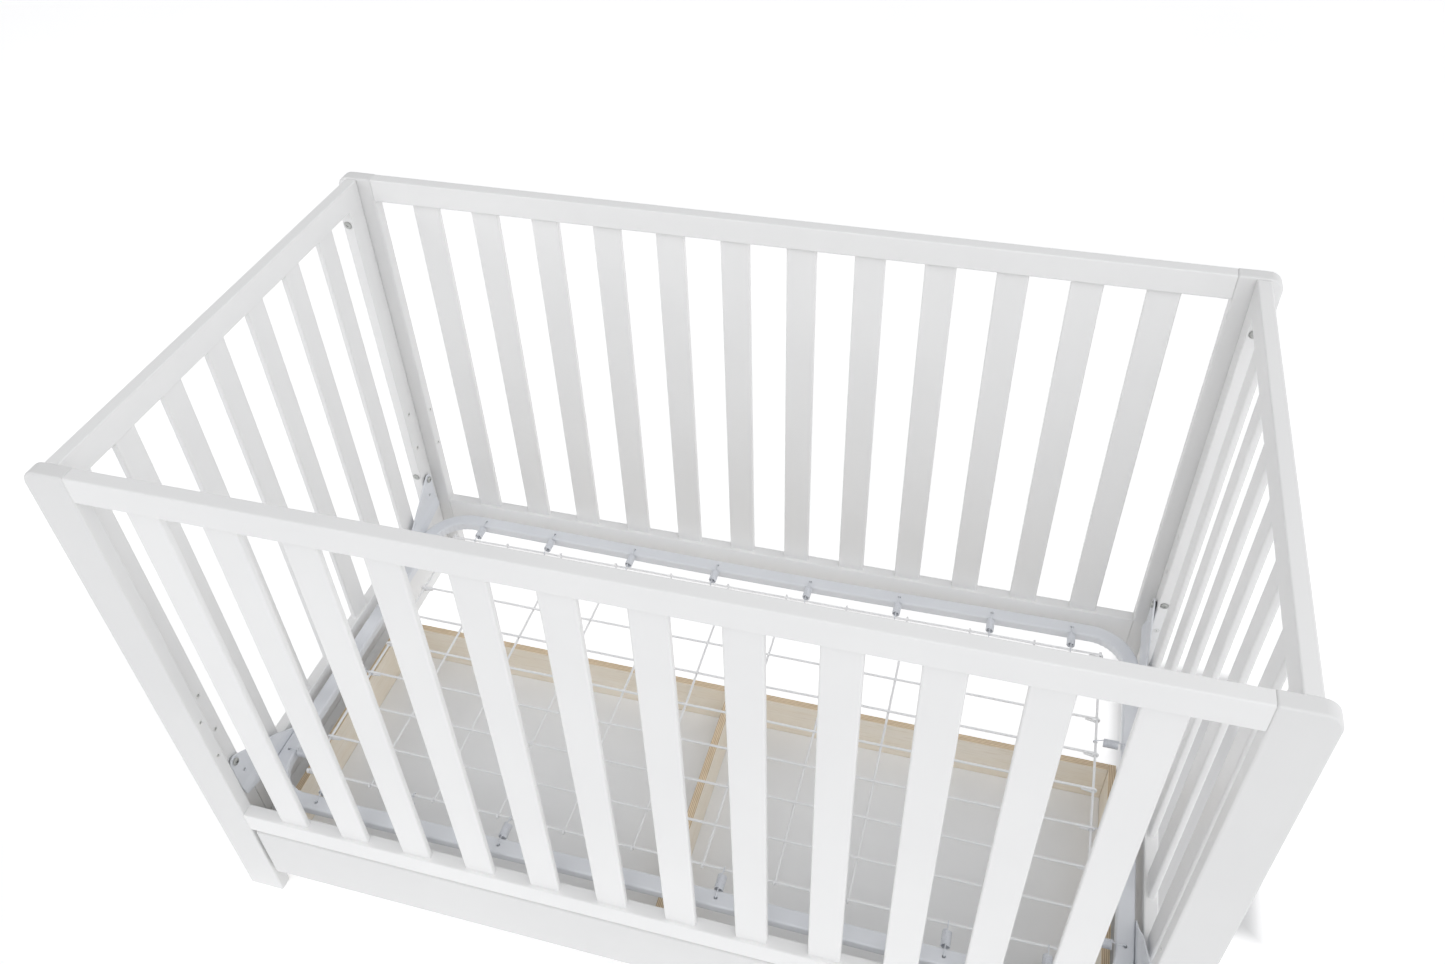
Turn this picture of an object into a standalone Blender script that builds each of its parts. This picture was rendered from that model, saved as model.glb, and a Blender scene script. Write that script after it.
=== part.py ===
"""Baby crib with fixed slatted sides, a height-adjustable sprung mattress frame and a drawer.

Metres, +Z up. The origin is on the floor at the centre of the footprint. The crib is long
in X, and its front, the drawer side, faces -Y. Run it with: blender --background --python part.py
"""
import math

import bmesh
import bpy
from mathutils import Vector

# Overall size
LENGTH = 1.400
WIDTH = 0.746
HEIGHT = 0.904
GAP = 0.0003            # clearance between two pieces that touch
MERGE = 0.00005         # points closer than this become one

# Posts and rails of the two long sides
POST_WIDTH = 0.0595
SIDE_THICKNESS = 0.022
POST_CORNER_RADIUS = 0.016
RAIL_HEIGHT = 0.038
RAIL_DROP = 0.0006      # top rails sit this far below the post tops
BOTTOM_RAIL_TOP = 0.220
FRONT_RAIL_HEIGHT = 0.040       # leaves room for the drawer below
BACK_RAIL_HEIGHT = 0.065
EDGE_RADIUS = 0.0022

# Slats of the long sides
SLAT_COUNT = 12
SLAT_PITCH = 0.1011
SLAT_WIDTH = 0.045
SLAT_THICKNESS = 0.010
SLAT_RADIUS = 0.0030

# End panels
END_INSET = 0.017       # from the posts' outer edges to the panel's outer face
END_THICKNESS = 0.019
END_DROP = 0.002        # end panels stop this far below the post tops
STILE_WIDTH = 0.038
END_BOARD_BOTTOM = 0.062
END_SLAT_COUNT = 6
END_SLAT_PITCH = 0.0978
END_SLAT_WIDTH = 0.040
TENON = 0.008           # how far an end slat runs into the board that carries it

# Mattress frame: one bent flat tube, four welded brackets and a wire grid
FRAME_LENGTH = 1.309
FRAME_WIDTH = 0.664
FRAME_TOP = 0.212
TUBE_WIDTH = 0.025
TUBE_HEIGHT = 0.018
TUBE_WALL = 0.0015
TUBE_EDGE = 0.0035
FRAME_CORNER_RADIUS = 0.082
GRID_LENGTH = 1.182
GRID_WIDTH = 0.537
GRID_CELLS = (11, 8)
WIRE = 0.004
GRID_TOP = 0.2110
BRACKET_THICKNESS = 0.0025
BRACKET_HEAD_RADIUS = 0.0105
BRACKET_FOOT = 0.0035   # height of the welded foot's lower edge above the tube's underside
BRACKET_HEEL = 0.2195   # height of the bracket's lower corner at the stile
JOGGLE = (0.224, 0.242) # heights between which a bracket steps out from the tube to the stile
WASHER_THICKNESS = 0.0027
BOLT_HEIGHT = 0.291
BOLT_INSET = 0.0455     # from the outer face of the long side to the bolt's axis
BOLT_RADIUS = 0.003
BOLT_HEAD_RADIUS = 0.0062
BOLT_HEAD_HEIGHT = 0.0036
SPARE_HOLE = (0.008, 0.032)     # from the bolt's axis, inwards and down

# Drawer and what it runs on
DRAWER_BOTTOM = 0.0615
DRAWER_FRONT_TOP = 0.177
DRAWER_FRONT_THICKNESS = 0.0165
DRAWER_FRONT_GAP = 0.0065
DRAWER_BOX_TOP = 0.150
DRAWER_FRONT_EDGE = 0.003
DRAWER_BOX_DEPTH = 0.4535
DRAWER_BOX_GAP = 0.0075
PLY = 0.012
PLY_EDGE = 0.0006
DRAWER_FLOOR = 0.006
DRAWER_FLOOR_TOP = 0.073
RUNNER_HEIGHT = 0.110   # centre line of the runners above the floor
RUNNER_LENGTH = 0.455
RUNNER_START = 0.003    # from the inner face of the front side to the runners' front ends
RUNNER_CLEARANCE = 0.0012       # between the drawer's side and the runner
BATTEN_HEIGHT = 0.036
GROOVE_DEPTH = 0.0078
GROOVE_HEIGHT = 0.014
SLIDE_HEIGHT = 0.012
SLIDE_SHORTER = 0.015   # a slide stops this far before its runner does
SLIDE_CLEARANCE = 0.0004        # between a slide and the posts that it passes
SLIDE_EDGE = 0.0008

HALF_LENGTH = LENGTH / 2
HALF_WIDTH = WIDTH / 2
POST_INNER_X = HALF_LENGTH - POST_WIDTH
SIDE_INNER_Y = HALF_WIDTH - SIDE_THICKNESS
PANEL_OUTER_X = HALF_LENGTH - END_INSET
PANEL_INNER_X = PANEL_OUTER_X - END_THICKNESS
PANEL_MIDDLE_X = PANEL_OUTER_X - END_THICKNESS / 2
PANEL_TOP = HEIGHT - END_DROP
TOP_RAIL_TOP = HEIGHT - RAIL_DROP
TOP_RAIL_BOTTOM = TOP_RAIL_TOP - RAIL_HEIGHT
STILE_INNER_Y = SIDE_INNER_Y - GAP - STILE_WIDTH
FRAME_HALF_LENGTH = FRAME_LENGTH / 2
DRAWER_BOX_X = POST_INNER_X - DRAWER_BOX_GAP


# ---------------------------------------------------------------- scene, materials and helpers

def clear_scene():
    for thing in list(bpy.data.objects):
        bpy.data.objects.remove(thing)


def new_collection(name):
    collection = bpy.data.collections.new(name)
    bpy.context.scene.collection.children.link(collection)
    return collection


def new_material(name, colour, roughness, metallic=0.0):
    material = bpy.data.materials.new(name)
    material.use_nodes = True
    shader = material.node_tree.nodes["Principled BSDF"]
    shader.inputs["Base Color"].default_value = (*colour, 1.0)
    shader.inputs["Roughness"].default_value = roughness
    shader.inputs["Metallic"].default_value = metallic
    material.diffuse_color = (*colour, 1.0)
    return material


clear_scene()
CRIB = new_collection("baby_crib")
CUTTERS = new_collection("cutters")
WHITE_PAINT = new_material("white_painted_wood", (0.86, 0.86, 0.86), 0.38)
WHITE_STEEL = new_material("white_coated_steel", (0.80, 0.82, 0.85), 0.32)
ZINC = new_material("zinc_plated_steel", (0.55, 0.56, 0.56), 0.35, 1.0)
BIRCH_PLY = new_material("birch_plywood", (0.72, 0.58, 0.42), 0.62)
WHITE_PANEL = new_material("white_drawer_panel", (0.78, 0.78, 0.78), 0.45)


def place(name, data, material, location, rotation=(0, 0, 0), parent=None):
    """Put a new object in the crib. location is where it is in the world, at rest."""
    thing = bpy.data.objects.new(name, data)
    data.materials.append(material)
    thing.rotation_euler = rotation
    thing.location = location
    if parent:
        thing.parent = parent
        thing.location = Vector(location) - parent.location
    CRIB.objects.link(thing)
    return thing


def joint_empty(name, location):
    empty = bpy.data.objects.new(name, None)
    empty.location = location
    empty.empty_display_size = 0.1
    CRIB.objects.link(empty)
    return empty


def as_cutter(thing):
    for collection in list(thing.users_collection):
        collection.objects.unlink(thing)
    CUTTERS.objects.link(thing)
    thing.hide_render = True
    thing.display_type = "WIRE"
    return thing


def ease_edges(thing, width=EDGE_RADIUS, segments=2):
    bevel = thing.modifiers.new("eased_edges", "BEVEL")
    bevel.width = width
    bevel.segments = segments
    bevel.limit_method = "ANGLE"
    bevel.angle_limit = math.radians(40)


def board(name, low, high, material, parent=None, edge=EDGE_RADIUS):
    """A straight board with eased edges, between its low and high corners."""
    low = Vector(low)
    high = Vector(high)
    shape = bmesh.new()
    bmesh.ops.create_cube(shape, size=1.0)
    bmesh.ops.scale(shape, vec=high - low, verts=shape.verts)
    mesh = bpy.data.meshes.new(name)
    shape.to_mesh(mesh)
    shape.free()
    thing = place(name, mesh, material, (low + high) / 2, parent=parent)
    ease_edges(thing, edge)
    return thing


def arc(centre, radius, start, end, steps):
    """Points of an arc, with its angles in degrees, both ends included."""
    points = []
    for step in range(steps + 1):
        angle = math.radians(start + (end - start) * step / steps)
        points.append((centre[0] + radius * math.cos(angle), centre[1] + radius * math.sin(angle)))
    return points


def rounded_rectangle(width, height, radius, steps):
    x = width / 2 - radius
    y = height / 2 - radius
    outline = []
    for quarter, centre in enumerate([(x, y), (-x, y), (-x, -y), (x, -y)]):
        outline += arc(centre, radius, 90 * quarter, 90 * quarter + 90, steps)
    return outline


def poly_curve(name, points, closed):
    curve = bpy.data.curves.new(name, "CURVE")
    spline = curve.splines.new("POLY")
    spline.points.add(len(points) - 1)
    for point, place_xy in zip(spline.points, points):
        point.co = (*place_xy, 0.0, 1.0)
    spline.use_cyclic_u = closed
    return curve


def outline_solid(name, points, thickness, material, location, rotation=(0, 0, 0), parent=None):
    """A flat outline in its local XY plane, thickened evenly to both sides."""
    curve = poly_curve(name, points, closed=True)
    curve.dimensions = "2D"
    curve.fill_mode = "BOTH"
    curve.extrude = thickness / 2
    return place(name, curve, material, location, rotation, parent)


def weld(thing):
    modifier = thing.modifiers.new("weld", "WELD")
    modifier.merge_threshold = MERGE


# ---------------------------------------------------------------- the two long sides

def post(name, side_x, side_y):
    """side_x and side_y are -1 or 1. The outline is mirrored so that its round corner is outside."""
    half = POST_WIDTH / 2
    radius = POST_CORNER_RADIUS
    outline = [(-half, 0.0), (half, 0.0)]
    outline += arc((half - radius, HEIGHT - radius), radius, 0, 90, 7)
    outline += [(-half, HEIGHT)]
    if side_x < 0:
        outline = [(-x, z) for x, z in reversed(outline)]
    location = (side_x * (HALF_LENGTH - half), side_y * (HALF_WIDTH - SIDE_THICKNESS / 2), 0)
    thing = outline_solid(name, outline, SIDE_THICKNESS, WHITE_PAINT, location, (math.pi / 2, 0, 0))
    weld(thing)
    ease_edges(thing)


def long_side(name, side_y, bottom_rail_height):
    """One of the two long sides: two posts, two rails and a row of slats."""
    post(name + "_left_post", -1, side_y)
    post(name + "_right_post", 1, side_y)
    reach = POST_INNER_X - GAP
    low_y, high_y = sorted((side_y * SIDE_INNER_Y, side_y * HALF_WIDTH))
    rails = [("top", TOP_RAIL_BOTTOM, TOP_RAIL_TOP),
             ("bottom", BOTTOM_RAIL_TOP - bottom_rail_height, BOTTOM_RAIL_TOP)]
    for level, bottom, top in rails:
        board(f"{name}_{level}_rail", (-reach, low_y, bottom), (reach, high_y, top), WHITE_PAINT)
    section = rounded_rectangle(SLAT_WIDTH, SLAT_THICKNESS, SLAT_RADIUS, 2)
    length = TOP_RAIL_BOTTOM - BOTTOM_RAIL_TOP - 2 * GAP
    middle_z = (TOP_RAIL_BOTTOM + BOTTOM_RAIL_TOP) / 2
    for number in range(SLAT_COUNT):
        x = (number - (SLAT_COUNT - 1) / 2) * SLAT_PITCH
        location = (x, side_y * (HALF_WIDTH - SIDE_THICKNESS / 2), middle_z)
        outline_solid(f"{name}_slat_{number + 1:02d}", section, length, WHITE_PAINT, location)


# ---------------------------------------------------------------- the two end panels

def end_panel(name, side_x):
    """Two stiles, a top rail, and a bottom board that carries the six end slats."""
    low_x, high_x = sorted((side_x * PANEL_INNER_X, side_x * PANEL_OUTER_X))
    for place_name, side_y in (("front", -1), ("back", 1)):
        low_y, high_y = sorted((side_y * STILE_INNER_Y, side_y * (SIDE_INNER_Y - GAP)))
        board(f"{name}_{place_name}_stile", (low_x, low_y, END_BOARD_BOTTOM), (high_x, high_y, PANEL_TOP),
              WHITE_PAINT)
    reach = STILE_INNER_Y - GAP
    rail_bottom = PANEL_TOP - RAIL_HEIGHT
    board(f"{name}_top_rail", (low_x, -reach, rail_bottom), (high_x, reach, PANEL_TOP), WHITE_PAINT)
    comb = board(f"{name}_slat_panel", (low_x, -reach, END_BOARD_BOTTOM), (high_x, reach, BOTTOM_RAIL_TOP),
                 WHITE_PAINT)
    union = comb.modifiers.new("slats", "BOOLEAN")
    union.operation = "UNION"
    union.solver = "EXACT"
    union.object = end_slats(f"{name}_slat_row", side_x * PANEL_MIDDLE_X, rail_bottom - GAP)


def end_slats(name, x, top):
    """Six upright slats in one mesh, which the bottom board is joined to."""
    bottom = BOTTOM_RAIL_TOP - TENON
    shape = bmesh.new()
    for number in range(END_SLAT_COUNT):
        y = (number - (END_SLAT_COUNT - 1) / 2) * END_SLAT_PITCH
        made = bmesh.ops.create_cube(shape, size=1.0)["verts"]
        bmesh.ops.scale(shape, vec=(SLAT_THICKNESS, END_SLAT_WIDTH, top - bottom), verts=made)
        bmesh.ops.translate(shape, vec=(x, y, (top + bottom) / 2), verts=made)
    upright = [edge for edge in shape.edges if abs(edge.verts[0].co.z - edge.verts[1].co.z) > TENON]
    bmesh.ops.bevel(shape, geom=upright, offset=SLAT_RADIUS, segments=2, profile=0.5, affect="EDGES")
    mesh = bpy.data.meshes.new(name)
    shape.to_mesh(mesh)
    shape.free()
    return as_cutter(place(name, mesh, WHITE_PAINT, (0, 0, 0)))


# ---------------------------------------------------------------- the mattress frame

def frame_tube(parent):
    """A flat tube bent into a ring. Its two ends meet in the middle of the back."""
    half_tube = TUBE_WIDTH / 2
    radius = FRAME_CORNER_RADIUS - half_tube
    ring = rounded_rectangle(FRAME_LENGTH - TUBE_WIDTH, FRAME_WIDTH - TUBE_WIDTH, radius, 6)
    back_y = FRAME_WIDTH / 2 - half_tube
    per_corner = len(ring) // 4
    path = [(-GAP / 2, back_y)] + ring[per_corner:] + ring[:per_corner] + [(GAP / 2, back_y)]
    outline = rounded_rectangle(TUBE_WIDTH, TUBE_HEIGHT, TUBE_EDGE, 1)
    section = poly_curve("tube_section", outline, closed=True)
    section_object = bpy.data.objects.new("tube_section", section)
    curve = poly_curve("mattress_frame", path, closed=False)
    curve.dimensions = "3D"
    curve.twist_mode = "Z_UP"
    curve.bevel_mode = "OBJECT"
    curve.bevel_object = as_cutter(section_object)
    tube = place("mattress_frame", curve, WHITE_STEEL, (0, 0, FRAME_TOP - TUBE_HEIGHT / 2), parent=parent)
    wall = tube.modifiers.new("wall", "SOLIDIFY")
    wall.thickness = TUBE_WALL
    wall.offset = 1


def wire_grid(parent):
    """Crossing wires, welded where they meet: a flat lattice as thick as one wire."""
    shape = bmesh.new()
    bmesh.ops.create_grid(shape, x_segments=GRID_CELLS[0], y_segments=GRID_CELLS[1], size=0.5)
    bmesh.ops.scale(shape, vec=(GRID_LENGTH, GRID_WIDTH, 1.0), verts=shape.verts)
    cells = list(shape.faces)
    bmesh.ops.inset_individual(shape, faces=cells, thickness=WIRE / 2, use_even_offset=True)
    bmesh.ops.delete(shape, geom=cells, context="FACES")
    for vertex in shape.verts:
        for axis, size in enumerate((GRID_LENGTH, GRID_WIDTH)):
            if abs(abs(vertex.co[axis]) - size / 2) < WIRE / 4:
                vertex.co[axis] += math.copysign(WIRE / 2, vertex.co[axis])
    mesh = bpy.data.meshes.new("wire_grid")
    shape.to_mesh(mesh)
    shape.free()
    grid = place("wire_grid", mesh, WHITE_STEEL, (0, 0, GRID_TOP), parent=parent)
    thickness = grid.modifiers.new("wire_thickness", "SOLIDIFY")
    thickness.thickness = WIRE
    thickness.offset = -1


def bracket_outline():
    """Outline of a corner bracket as (distance from the long side's face, height) pairs."""
    foot = FRAME_TOP - TUBE_HEIGHT + BRACKET_FOOT
    near = BOLT_INSET - BRACKET_HEAD_RADIUS
    outline = [(near, BRACKET_HEEL), (0.143, foot), (0.177, foot)]
    outline += [(0.177, 0.208), (0.165, 0.2175), (0.137, 0.239)]
    outline += arc((BOLT_INSET, BOLT_HEIGHT), BRACKET_HEAD_RADIUS, 55, 180, 5)
    return outline


def bracket(name, side_x, side_y, parent):
    """A pressed plate, set out from the tube's side to the washer on the stile."""
    outside = PANEL_INNER_X - GAP - WASHER_THICKNESS
    step_in = outside - (FRAME_HALF_LENGTH + GAP + BRACKET_THICKNESS)
    shape = bmesh.new()
    corners = [(0.0, side_y * (HALF_WIDTH - away), height) for away, height in bracket_outline()]
    shape.faces.new([shape.verts.new(corner) for corner in corners])
    for height in JOGGLE:
        everything = shape.verts[:] + shape.edges[:] + shape.faces[:]
        bmesh.ops.bisect_plane(shape, geom=everything, plane_co=(0, 0, height), plane_no=(0, 0, 1))
    for vertex in shape.verts:
        if vertex.co.z < sum(JOGGLE) / 2:
            vertex.co.x = -side_x * step_in
    bmesh.ops.recalc_face_normals(shape, faces=shape.faces)
    shape.normal_update()
    shape.faces.ensure_lookup_table()
    if shape.faces[0].normal.x * side_x < 0:
        bmesh.ops.reverse_faces(shape, faces=shape.faces)
    mesh = bpy.data.meshes.new(name)
    shape.to_mesh(mesh)
    shape.free()
    thing = place(name, mesh, WHITE_STEEL, (side_x * outside, 0, 0), parent=parent)
    plate = thing.modifiers.new("plate", "SOLIDIFY")
    plate.thickness = BRACKET_THICKNESS
    plate.offset = -1
    bolt_y = side_y * (HALF_WIDTH - BOLT_INSET)
    inwards, down = SPARE_HOLE
    holes = [(bolt_y, BOLT_HEIGHT, BOLT_RADIUS + GAP),
             (bolt_y - side_y * inwards, BOLT_HEIGHT - down, BOLT_RADIUS)]
    cut = thing.modifiers.new("holes", "BOOLEAN")
    cut.operation = "DIFFERENCE"
    cut.solver = "EXACT"
    cut.object = hole_cutter(name + "_holes", side_x * outside, holes)


def hole_cutter(name, x, holes):
    """Round cutters along X, one for each (y, z, radius), long enough to pass right through."""
    shape = bmesh.new()
    length = 8 * BRACKET_THICKNESS
    for y, z, radius in holes:
        made = bmesh.ops.create_cone(shape, cap_ends=True, segments=12, radius1=radius, radius2=radius,
                                     depth=length)["verts"]
        bmesh.ops.translate(shape, vec=(-z, y, x), verts=made)
    mesh = bpy.data.meshes.new(name)
    shape.to_mesh(mesh)
    shape.free()
    return as_cutter(place(name, mesh, WHITE_STEEL, (0, 0, 0), (0, math.pi / 2, 0)))


def bracket_bolt(name, side_x, side_y, parent):
    """A domed bolt whose head clamps the bracket. Its shank ends at the stile's face."""
    plate_face = PANEL_INNER_X - GAP - WASHER_THICKNESS - BRACKET_THICKNESS - GAP
    shank = PANEL_INNER_X - GAP - plate_face
    top = BOLT_HEAD_HEIGHT
    head = BOLT_HEAD_RADIUS
    profile = [(0.0, top), (head * 0.6, top), (head, top * 0.45), (head, 0.0), (BOLT_RADIUS, 0.0),
               (BOLT_RADIUS, -shank), (0.0, -shank)]
    mesh = bpy.data.meshes.new(name)
    edges = [(index, index + 1) for index in range(len(profile) - 1)]
    mesh.from_pydata([(x, 0.0, z) for x, z in profile], edges, [])
    location = (side_x * plate_face, side_y * (HALF_WIDTH - BOLT_INSET), BOLT_HEIGHT)
    bolt = place(name, mesh, ZINC, location, (0, -side_x * math.pi / 2, 0), parent)
    turn = bolt.modifiers.new("turned", "SCREW")
    turn.steps = 12
    turn.render_steps = 12
    turn.use_merge_vertices = True
    turn.merge_threshold = MERGE


def mattress_support():
    parent = joint_empty("mattress_height_joint", (0, 0, BOLT_HEIGHT))
    frame_tube(parent)
    wire_grid(parent)
    for place_name, side_x, side_y in (("front_left", -1, -1), ("front_right", 1, -1),
                                       ("back_left", -1, 1), ("back_right", 1, 1)):
        bracket(f"{place_name}_bracket", side_x, side_y, parent)
        bracket_bolt(f"{place_name}_bracket_bolt", side_x, side_y, parent)


# ---------------------------------------------------------------- the drawer

def drawer():
    """A plywood box behind a painted front, in two compartments, with a slide on each side."""
    parent = joint_empty("drawer_slide_joint", (0, -HALF_WIDTH, RUNNER_HEIGHT))
    front_y = -HALF_WIDTH + GAP
    box_y = front_y + DRAWER_FRONT_THICKNESS + GAP
    back_y = box_y + DRAWER_BOX_DEPTH
    box_x = DRAWER_BOX_X
    inner_x = box_x - PLY - GAP
    front_x = POST_INNER_X - DRAWER_FRONT_GAP
    board("drawer_front", (-front_x, front_y, DRAWER_BOTTOM),
          (front_x, front_y + DRAWER_FRONT_THICKNESS, DRAWER_FRONT_TOP), WHITE_PAINT, parent,
          DRAWER_FRONT_EDGE)
    for side_name, side_x in (("left", -1), ("right", 1)):
        low_x, high_x = sorted((side_x * box_x, side_x * (box_x - PLY)))
        board(f"drawer_{side_name}_side", (low_x, box_y, DRAWER_BOTTOM), (high_x, back_y, DRAWER_BOX_TOP),
              BIRCH_PLY, parent, PLY_EDGE)
        drawer_slide(side_name, side_x, parent)
    board("drawer_back", (-inner_x, back_y - PLY, DRAWER_BOTTOM), (inner_x, back_y, DRAWER_BOX_TOP),
          BIRCH_PLY, parent, PLY_EDGE)
    inner_back = back_y - PLY - GAP
    board("drawer_bottom", (-inner_x, box_y, DRAWER_FLOOR_TOP - DRAWER_FLOOR),
          (inner_x, inner_back, DRAWER_FLOOR_TOP), WHITE_PANEL, parent, PLY_EDGE)
    board("drawer_divider", (-PLY / 2, box_y, DRAWER_FLOOR_TOP + GAP), (PLY / 2, inner_back, DRAWER_BOX_TOP),
          BIRCH_PLY, parent, PLY_EDGE)


def drawer_slide(side_name, side_x, parent):
    """A hardwood strip on the drawer's side, which runs in the fixed runner's groove."""
    low_x, high_x = sorted((side_x * (DRAWER_BOX_X + GAP), side_x * (POST_INNER_X - SLIDE_CLEARANCE)))
    half = SLIDE_HEIGHT / 2
    front_y = -HALF_WIDTH + DRAWER_FRONT_THICKNESS + 2 * GAP + RUNNER_START
    board(f"drawer_{side_name}_slide", (low_x, front_y, RUNNER_HEIGHT - half),
          (high_x, front_y + RUNNER_LENGTH - SLIDE_SHORTER, RUNNER_HEIGHT + half), WHITE_PAINT, parent,
          SLIDE_EDGE)


def drawer_runner(side_name, side_x):
    """A grooved hardwood batten, fixed along the foot of an end panel."""
    outer = PANEL_INNER_X - GAP
    inner = DRAWER_BOX_X + RUNNER_CLEARANCE
    half = BATTEN_HEIGHT / 2
    groove = GROOVE_HEIGHT / 2
    floor = inner + GROOVE_DEPTH
    outline = [(inner, -half), (outer, -half), (outer, half), (inner, half), (inner, groove),
               (floor, groove), (floor, -groove), (inner, -groove)]
    if side_x < 0:
        outline = [(-x, z) for x, z in reversed(outline)]
    middle_y = -SIDE_INNER_Y + RUNNER_START + RUNNER_LENGTH / 2
    runner = outline_solid(f"{side_name}_drawer_runner", outline, RUNNER_LENGTH, WHITE_PAINT,
                           (0, middle_y, RUNNER_HEIGHT), (math.pi / 2, 0, 0))
    weld(runner)


long_side("front", -1, FRONT_RAIL_HEIGHT)
long_side("back", 1, BACK_RAIL_HEIGHT)
end_panel("left_end", -1)
end_panel("right_end", 1)
mattress_support()
drawer()
drawer_runner("left", -1)
drawer_runner("right", 1)
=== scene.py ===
"""Looks of the baby crib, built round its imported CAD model.

Metres, +Z up. The crib is long in X and its front, the drawer side, faces -Y. Each visible
piece is made from the box of the CAD node that it stands for, and rides on that node's body.
"""
import math

import bmesh
import bpy
from mathutils import Matrix, Vector


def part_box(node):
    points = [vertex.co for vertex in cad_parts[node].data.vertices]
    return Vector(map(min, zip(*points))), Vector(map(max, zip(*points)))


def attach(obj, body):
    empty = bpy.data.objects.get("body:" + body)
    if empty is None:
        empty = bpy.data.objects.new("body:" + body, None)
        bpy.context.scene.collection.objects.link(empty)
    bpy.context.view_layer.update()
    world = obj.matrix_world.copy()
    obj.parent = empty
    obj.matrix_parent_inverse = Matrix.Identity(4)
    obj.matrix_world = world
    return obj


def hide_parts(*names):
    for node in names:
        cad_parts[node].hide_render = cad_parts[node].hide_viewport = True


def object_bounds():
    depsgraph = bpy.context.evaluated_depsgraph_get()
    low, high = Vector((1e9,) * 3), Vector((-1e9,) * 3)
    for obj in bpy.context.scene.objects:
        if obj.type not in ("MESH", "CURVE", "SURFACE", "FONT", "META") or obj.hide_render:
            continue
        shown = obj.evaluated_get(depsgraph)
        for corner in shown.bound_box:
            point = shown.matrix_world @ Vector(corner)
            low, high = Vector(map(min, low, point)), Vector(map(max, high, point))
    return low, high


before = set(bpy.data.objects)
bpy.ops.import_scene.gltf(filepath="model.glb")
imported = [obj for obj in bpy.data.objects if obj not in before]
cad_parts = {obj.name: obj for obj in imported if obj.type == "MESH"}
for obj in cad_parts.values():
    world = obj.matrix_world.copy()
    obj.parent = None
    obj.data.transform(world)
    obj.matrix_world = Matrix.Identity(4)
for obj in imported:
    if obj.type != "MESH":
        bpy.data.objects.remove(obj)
CAD_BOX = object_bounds()

CRIB = "crib_frame"
SUPPORT = "mattress_support"
DRAWER = "drawer"
GAP = 0.0003            # the CAD model's clearance between pieces that touch

# Woodwork
POST_CORNER_RADIUS = 0.019
POST_EDGE_RADIUS = 0.003
RAIL_SET_BACK = 0.0008  # the rails' faces lie this far behind the posts' faces
EDGE_RADIUS = 0.0022
SLAT_RADIUS = 0.0030
SLAT_THICKNESS = 0.010
END_SLAT_COUNT = 6
END_SLAT_PITCH = 0.0978
END_SLAT_WIDTH = 0.040

# Fixings
EDGE_BOLT_HEIGHTS = (0.841, 0.307)
PLUG_HEIGHT = 0.246
STILE_INSERT_HEIGHTS = (0.448, 0.370)
POST_INSERT_HEIGHTS = (0.438, 0.360)
BOLT_INSET = 0.0455
BOLT_HEIGHT = 0.291
INSERT_RADIUS = 0.0046
INSERT_BORE = 0.0025
BOLT_SEAT_RADIUS = 0.0064
BRACKET_HEAD_RADIUS = 0.0105

# Mattress frame
TUBE_WIDTH = 0.025
TUBE_EDGE = 0.0035
TUBE_BOW = 0.005        # how far the springs pull the middle of each long side inwards
FRAME_CORNER_RADIUS = 0.082
WRINKLE_DEPTH = 0.0011
WRINKLE_LENGTH = 0.0105
HOOK_HOLE_RADIUS = 0.0026
SIDE_SPRINGS = (-0.549, -0.408, -0.247, -0.086, 0.087, 0.247, 0.408, 0.543)
END_SPRINGS = (-0.242, -0.068, 0.092, 0.248)
WIRE_RADIUS = 0.0020
GRID_CELLS = (11, 8)
LONG_WIRE_Z = 0.2105
CROSS_WIRE_Z = 0.2069
SPRING_WIRE_RADIUS = 0.0010
COIL_RADIUS = 0.0061
COIL_TURNS = 11
COIL_PITCH = 0.00207
PLATE_THICKNESS = 0.0025
PLATE_JOGGLE = (0.224, 0.242)   # the heights between which a bracket steps outwards
WASHER_THICKNESS = 0.0023


# ---------------------------------------------------------------- camera, floor and light

# The floor is lit from below like a light table. Each patch is (centre, half size, width of its soft rim).
FLOOR_LIGHT = (0.24, 0.41)      # strength from the front of the floor to the back
FLOOR_LIGHT_ENDS = (-0.7, 0.7)  # the Y range over which it changes
FLOOR_GLOW = 0.13               # what is added round the crib
GLOW_PATCH = ((0.0, 0.03), (0.65, 0.42), 0.5)
PAINTED_SHADE_PATCH = ((0.0, -0.06), (0.60, 0.24), 0.04)    # painted shade under the drawer: the floor gives no light there
PAINTED_SHADOW_PATCH = ((0.765, 0.200), (0.080, 0.230), 0.06)     # painted shadow beside the right end: greyer floor colour, less floor light
# floor colour at the middle of the painted shadow beside the right end
PAINTED_SHADOW_GREY = 0.80


def make_camera():
    camera = bpy.data.cameras.new("camera")
    camera.lens = 29.2
    camera.shift_x = 0.0080
    camera.shift_y = -0.0021
    thing = bpy.data.objects.new("camera", camera)
    thing.location = (0.3635, -1.1130, 1.7567)
    thing.rotation_euler = [math.radians(angle) for angle in (48.284, 2.028, 15.852)]
    bpy.context.scene.collection.objects.link(thing)
    bpy.context.scene.camera = thing


def area_light(name, location, target, size, power):
    light = bpy.data.lights.new(name, "AREA")
    light.shape = "RECTANGLE"
    light.size, light.size_y = size
    light.energy = power
    thing = bpy.data.objects.new(name, light)
    thing.location = location
    aim = Vector(target) - Vector(location)
    thing.rotation_euler = aim.to_track_quat("-Z", "Y").to_euler()
    bpy.context.scene.collection.objects.link(thing)


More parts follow.
